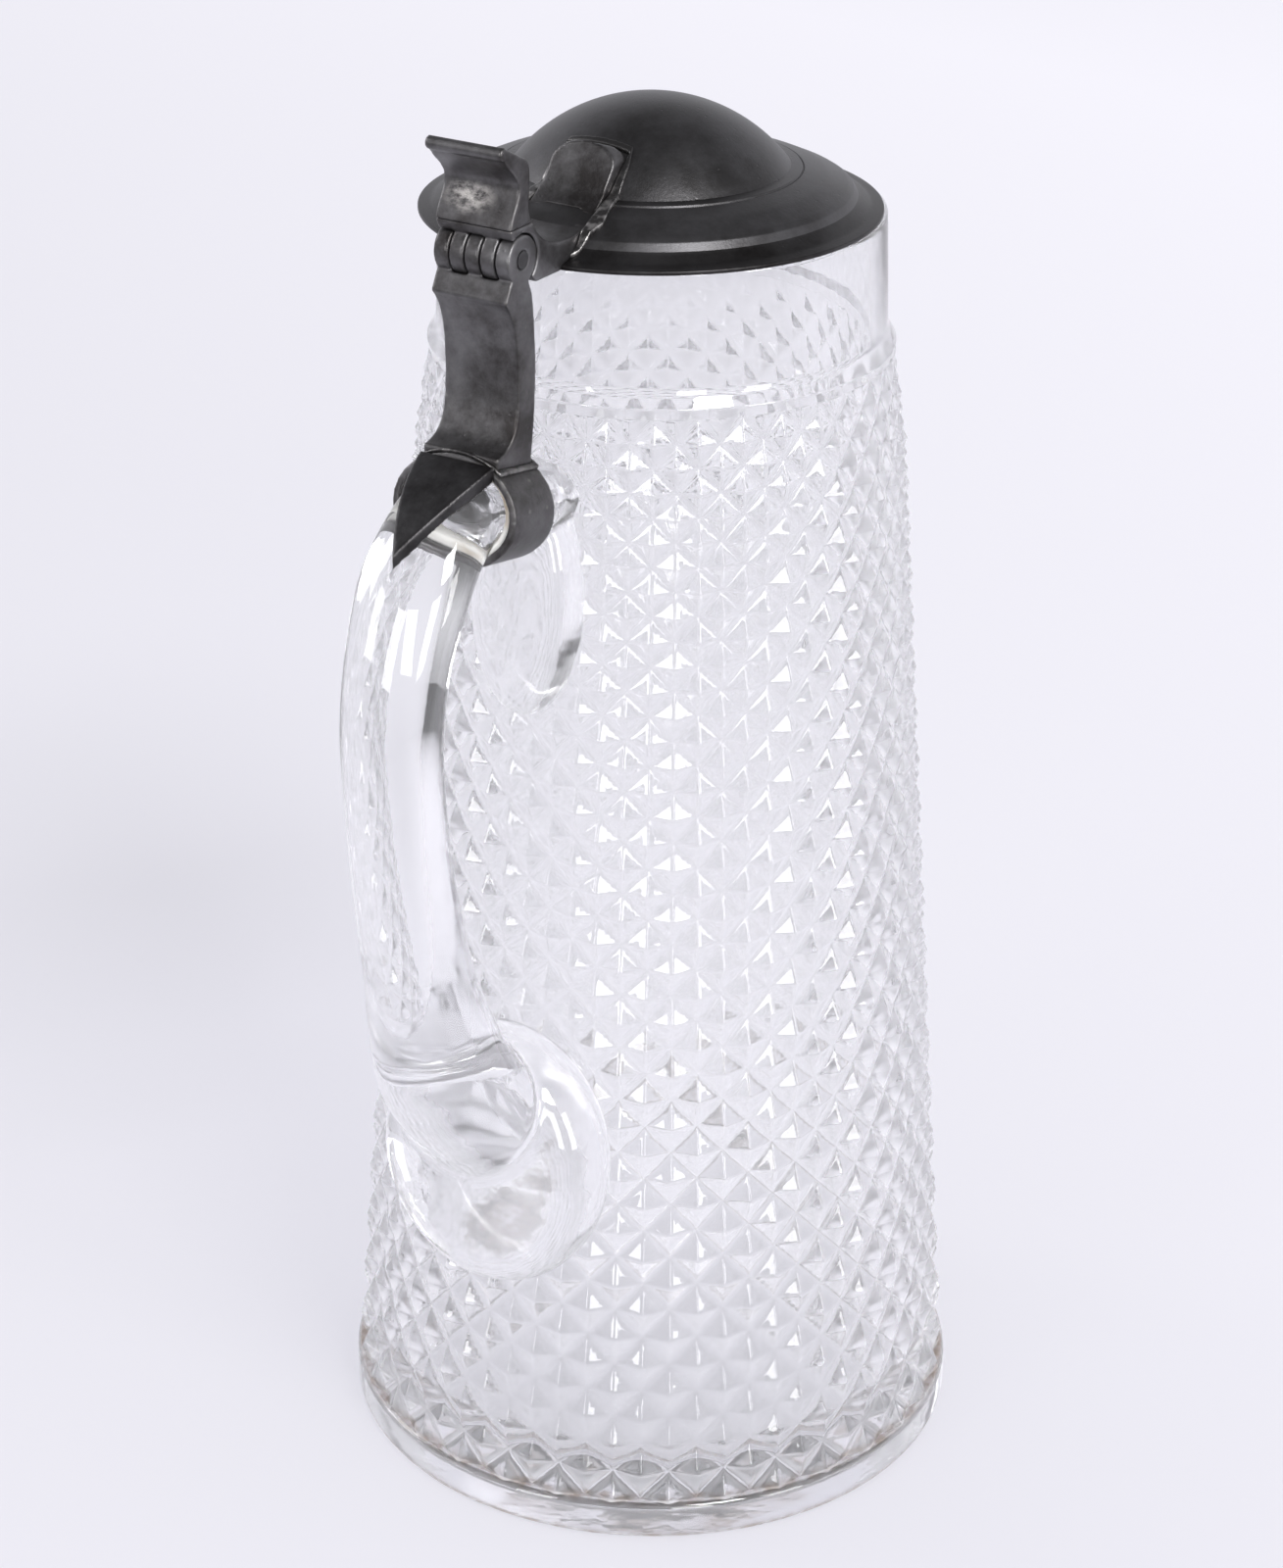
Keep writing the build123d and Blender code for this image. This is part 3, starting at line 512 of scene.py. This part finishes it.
def pewter(name, wear, dark=(0.030, 0.029, 0.031, 1), pale=(0.085, 0.083, 0.086, 1), rubbed=None):
    """Tarnished pewter: nearly black, cloudy and pitted, paler at worn corners and a rubbed spot."""
    material, bench, shader = new_material(name)
    place = bench.place()
    clouds = bench.noise(place, 60.0, 8.0, 0.7)
    corner = bench.node("ShaderNodeNewGeometry").outputs["Pointiness"]
    worn = bench.ranged(corner, 0.53, 0.62, 0.0, wear)
    colour = bench.colour_mix(
        bench.figure("MULTIPLY", worn, clouds),
        bench.tones(clouds, (0.37, dark), (0.64, pale)),
        (0.34, 0.33, 0.32, 1),
    )
    if rubbed:
        squat = 1.9
        flatter = bench.vector("MULTIPLY", place, (1, 1, squat))
        gap = bench.vector("DISTANCE", flatter, (rubbed.x, rubbed.y, rubbed.z * squat))
        near = bench.ranged(gap, 0.0065, 0.001)
        scuffs = bench.ranged(bench.noise(flatter, 300.0, 5.0, 0.7), 0.40, 0.60)
        patch = bench.figure("MULTIPLY", near, scuffs)
        colour = bench.colour_mix(patch, colour, (0.62, 0.59, 0.57, 1))
    grain = bench.bump(bench.noise(place, 1400.0, 4.0, 0.7), 0.00015, 0.3)
    pits = bench.node("ShaderNodeTexVoronoi", Vector=place, Scale=330.0).outputs["Distance"]
    dents = bench.bump(bench.ranged(pits, 0.03, 0.12), 0.0002, 0.25)
    bench.feed(dents, Normal=grain.outputs["Normal"])
    rough = bench.ranged(clouds, 0.0, 1.0, 0.30, 0.52)
    bench.feed(shader, Base_Color=colour, Metallic=0.9, Roughness=rough, Normal=dents.outputs["Normal"])
    return material


cast_tones = ((0.044, 0.040, 0.040, 1), (0.165, 0.162, 0.168, 1))
dark_pewter = pewter("dark_pewter", 0.6, *cast_tones)
thumb_shares = (0.5, 0.38, 0.28)
thumb_spot = Vector([
    between(low, high, share) for low, high, share in zip(*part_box("thumb_lift"), thumb_shares)
])
lift_pewter = pewter("lift_pewter", 0.6, *cast_tones, thumb_spot)


def worn_copy(node, name, body, material, grain=0.35, rounds=4):
    """Piece made from a copy of a CAD node's mesh, with corners worn round, that stands for it."""
    piece = bpy.data.objects.new(name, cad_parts[node].data.copy())
    scene.collection.objects.link(piece)
    melt(piece, grain, rounds)
    piece.data.materials.clear()
    piece.data.materials.append(material)
    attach(piece, body)
    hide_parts(node)
    return piece


worn_copy("handle_collar", "collar_ring", "vessel", dark_pewter)
# The leaf's tones, darker than the other pewter, are painted shade.
leaf_pewter_painted_shade = pewter("leaf_pewter_painted_shade", 0.9, (0.024, 0.022, 0.023, 1), (0.080, 0.078, 0.082, 1))
worn_copy("collar_leaf", "collar_leaf_cast", "vessel", leaf_pewter_painted_shade)
worn_copy("hinge_strap", "hinge_strap_cast", "vessel", dark_pewter)
worn_copy("lid_lever", "lid_lever_cast", "lid", dark_pewter)
worn_copy("thumb_lift", "thumb_lift_cast", "lid", lift_pewter)
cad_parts["hinge_pin"].data.materials.clear()
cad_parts["hinge_pin"].data.materials.append(pewter("pin_pewter", 0.0))

# Solder. Lumpy beads run in with an iron where the lever meets the lid and where the strap meets
# the collar. Their colour holds a painted glint: bright in a band of heights low on the lid, dimmer at the
# collar and dull higher up.


def solder():
    """Lumpy solder with a painted glint: bright in a band of heights at the lid, dimmer lower down and
    dull above.
    """
    material, bench, shader = new_material("solder_painted_glint")
    place = bench.place()
    height = bench.height_of(place)
    lumps = bench.noise(place, 500.0, 4.0)
    bright = bench.tones(lumps, (0.44, (0.10, 0.095, 0.095, 1)), (0.62, (0.60, 0.58, 0.57, 1)))
    # Painted glint: the solder is painted bright in this band of heights and dimmer at the collar.
    glint_band = bench.ranged(height, 0.2945, 0.2880, 0.0, 0.75)
    glint_low_share = bench.ranged(height, 0.262, 0.272, 0.35, 1.0)
    glint = bench.figure("MULTIPLY", glint_band, glint_low_share)
    colour = bench.colour_mix(glint, (0.085, 0.082, 0.083, 1), bright)
    bump = bench.bump(lumps, 0.0003, 0.3)
    bench.feed(shader, Base_Color=colour, Metallic=0.9, Roughness=0.3, Normal=bump.outputs["Normal"])
    return material


solder_painted_glint = solder()
worn_copy("strap_solder", "strap_solder_bead", "vessel", solder_painted_glint, grain=0.25)
worn_copy("lever_solder", "lever_solder_bead", "lid", solder_painted_glint, grain=0.18, rounds=16)

# Plaster. The off-white bed between the collar and the handle's glass, poured in to hold the collar
# fast, and stained brownish with age.


def plaster():
    """Matt plaster with brownish stains."""
    material, bench, shader = new_material("old_plaster")
    stains = bench.noise(bench.place(), 180.0, 5.0)
    colour = bench.tones(stains, (0.35, (0.55, 0.47, 0.36, 1)), (0.6, (0.86, 0.85, 0.82, 1)))
    bump = bench.bump(stains, 0.0004, 0.5)
    bench.feed(shader, Base_Color=colour, Roughness=0.85, Normal=bump.outputs["Normal"])
    return material


worn_copy("collar_packing", "collar_plaster", "vessel", plaster())

# Lid. One pewter casting turned on a lathe: a thin edge, a hollow brim, a bevel, a sloping band
# with a fine line at its foot, and a low dome. Its underside follows at the casting's wall.
lid_centre = (4.6, 0.0)
lid_seat, dome_top = (corner.z / to_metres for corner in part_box("lid_shell"))
brim_rise = 3.4
dome_foot = (27.9, lid_seat + 9.0)
dome_wall = 2.2


def dome_arc(foot, top, count):
    """Arc from the dome's foot up to its top, as radius and height."""
    rise = top - foot[1]
    ball = (foot[0] ** 2 + rise**2) / (2 * rise)
    half = atan2(foot[0], ball - rise)
    return [(ball * sin(a), top - ball * (1 - cos(a))) for a in np.linspace(half, 0.03, count)]


lid_corners = [
    (36.0, 0, 0),
    (46.7, 0, 0.25),
    (46.7, 0.85, 0.3),
    (44.2, 1.25, 2.5),
    (41.9, 2.7, 1.0),
    (41.45, 3.05, 0.25),
    (40.5, 4.6, 0.9),
    (39.3, 5.35, 0.8),
    (35.0, 7.25, 8.0),
    (30.6, 8.5, 0.2),
    (30.35, 8.15, 0.1),
    (30.1, 8.75, 0.2),
    (28.3, 8.95, 0.3),
    (27.9, 9.1, 0),
]
lid_top = rounded([(radius, lid_seat + rise, round_off) for radius, rise, round_off in lid_corners])
arc = dome_arc(dome_foot, dome_top, 28)
lid_outline = lid_top[:-1] + arc
inner_foot = (dome_foot[0] - dome_wall, dome_foot[1] - dome_wall)
inner = [(38.7, lid_seat), (35.4, lid_seat + 2.9)] + dome_arc(inner_foot, dome_top - dome_wall, 20)
lid_profile = inner[::-1] + [(40.0, lid_seat)] + lid_outline[1:]
lid_angles = np.linspace(0, 2 * pi, 256, endpoint=False)
lid = grid_piece("lid_turned", turned_rings(lid_profile, lid_angles, lid_centre))
lid.data.set_sharp_from_angle(angle=radians(35))
lid_pewter = pewter("lid_pewter", 0.0, (0.054, 0.052, 0.053, 1), (0.096, 0.094, 0.099, 1))
# The brim below the bevel is given darker tones than the top.
brim_pewter = pewter("brim_pewter", 0.0, (0.022, 0.020, 0.020, 1), (0.055, 0.053, 0.055, 1))
lid.data.materials.append(lid_pewter)
lid.data.materials.append(brim_pewter)
for face in lid.data.polygons:
    if face.center.z < (lid_seat + brim_rise) * to_metres:
        face.material_index = 1
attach(lid, "lid")
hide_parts("lid_shell")

# Table. A pale flat table that runs out of sight and keeps the shadow. What the camera sees of it
# and what the glass and pewter gather from it are lifted by a glow of their own, which paints light
# and shade: a falloff across the table, a contact shadow round the tankard and a dark camera's side.
table_mesh = bpy.data.meshes.new("table")
table_half = 6.0
table_corners = [(-1, -1), (1, -1), (1, 1), (-1, 1)]
table_mesh.from_pydata([(x * table_half, y * table_half, 0) for x, y in table_corners], [], [(0, 1, 2, 3)])
table = bpy.data.objects.new("table", table_mesh)
table.location.z = -0.0003
scene.collection.objects.link(table)


def pale_table():
    """Pale matt board with a glow by place that paints light and shade, one for straight looks and one for
    glass and metal.
    """
    material, bench, shader = new_material("pale_table")
    bench.feed(shader, Base_Color=(0.81, 0.80, 0.87, 1), Roughness=0.8)
    spot = bench.place()
    off_centre = bench.vector("LENGTH", spot)
    far_off = bench.ranged(off_centre, 1.5, 3.2)
    across = bench.vector("DOT_PRODUCT", spot, (-1.324, 0.239, 0))
    # Painted light falloff: the glow the camera sees is darker near the tankard and on the left, brighter
    # far off and on the right.
    painted_falloff_glow = bench.number_mix(far_off, bench.ranged(across, 0.0, 1.4, 0.76, 1.22), 0.944)
    # Painted contact shadow, seen in the glass and metal: darker round the tankard's foot, lighter further
    # out.
    painted_contact_shadow = bench.tones(
        off_centre,
        (0.060, (0.80, 0.80, 0.82, 1)),
        (0.11, (0.86, 0.86, 0.87, 1)),
        (0.9, (0.92, 0.92, 0.92, 1)),
    )
    room_side = bench.vector("DOT_PRODUCT", spot, (0.850, 0.526, 0))
    # Painted light and shade under the glass: darker on the camera's side, brighter on the far side.
    painted_side_shade = bench.ranged(room_side, -0.06, 0.06, 1.30, 0.55)
    painted_shade_beneath = bench.number_mix(bench.ranged(off_centre, 0.065, 0.10), painted_side_shade, 1.0)
    # Painted shade: what the glass and metal see of the table far out on the camera's side is dark.
    painted_dark_side = bench.ranged(room_side, 0.22, 0.40)
    painted_shade_through = bench.number_mix(painted_dark_side, bench.figure("MULTIPLY", painted_contact_shadow, painted_shade_beneath), 0.10)
    straight = bench.ray("Camera")
    strength = bench.number_mix(straight, painted_shade_through, painted_falloff_glow)
    glow = bench.node("ShaderNodeEmission", Color=(0.985, 0.975, 1.04, 1), Strength=strength)
    either = bench.figure("MAXIMUM", bench.ray("Glossy"), bench.ray("Transmission"))
    share = bench.figure("MULTIPLY_ADD", either, 0.5, bench.figure("MULTIPLY", straight, 0.5))
    full = bench.number_mix(straight, painted_dark_side, far_off)
    lifted = bench.figure("MULTIPLY_ADD", full, share, share)
    surface = bench.shader_mix(lifted, shader.outputs["BSDF"], glow.outputs["Emission"])
    bench.feed(material.node_tree.nodes["Material Output"], Surface=surface)
    return material


table_mesh.materials.append(pale_table())

# Surround. A pale studio for the camera, which the pewter and the glass see grow darker overhead
# and on the camera's side.
world = bpy.data.worlds.new("surround")
scene.world = world
world.use_nodes = True
room = Bench(world.node_tree)
sight = room.node("ShaderNodeTexCoord").outputs["Generated"]
ceiling = room.ranged(room.height_of(sight), 0.28, 0.85, 1.0, 0.12, "SMOOTHSTEP")
facing = room.vector("DOT_PRODUCT", sight, (0.85, 0.53, 0))
behind = room.ranged(facing, -0.1, 0.8, 1.0, 0.22, "SMOOTHSTEP")
dim = room.figure("MULTIPLY", ceiling, behind)
in_metal = room.number_mix(room.ray("Glossy"), 0.35, dim)
in_glass = room.number_mix(room.ray("Transmission"), in_metal, room.ranged(dim, 0.0, 1.0, 0.0, 0.88))
straight = room.number_mix(room.ray("Camera"), in_glass, 1.0)
room.feed(world.node_tree.nodes["Background"], Color=(0.93, 0.93, 0.98, 1), Strength=straight)

# Lamps. Five flat soft lamps in a ring: three tall ones low down on the camera's side, whose light
# the pyramids catch, one from the left and a strong one high on the right.
camera_bearing = 31.8
lamp_aim = Vector((0, 0, 0.14))
low_lift = radians(14.5)


def soft_lamp(name, turn, lift, distance, width, height, power):
    """Flat soft lamp that faces the tankard, placed by its turn from the camera's side and its lift."""
    lamp = bpy.data.lights.new(name, "AREA")
    lamp.shape = "RECTANGLE"
    lamp.size = width
    lamp.size_y = height
    lamp.energy = power
    holder = bpy.data.objects.new(name, lamp)
    scene.collection.objects.link(holder)
    bearing = radians(camera_bearing + turn)
    reach = Vector((cos(bearing) * cos(lift), sin(bearing) * cos(lift), sin(lift))) * distance
    holder.location = lamp_aim + reach
    holder.rotation_euler = (-reach).to_track_quat("-Z", "Y").to_euler()


for lamp_name, lamp_turn in (("lamp_front", 15), ("lamp_near_left", -41), ("lamp_near_right", 48)):
    soft_lamp(lamp_name, lamp_turn, low_lift, 3.4, 0.8, 1.55, 35)
soft_lamp("lamp_left", -105, radians(28), 3.0, 0.9, 1.5, 26)
soft_lamp("lamp_right", 28, radians(43), 3.2, 0.9, 0.9, 78)
# Light crosses many faces of the glass. Caustics stay off, because the glass already lets the
# lamps' light through as plain shade.
scene.cycles.max_bounces = 24
scene.cycles.transmission_bounces = 24
scene.cycles.glossy_bounces = 16
scene.cycles.caustics_reflective = False
scene.cycles.caustics_refractive = False

scene.view_settings.view_transform = "Standard"
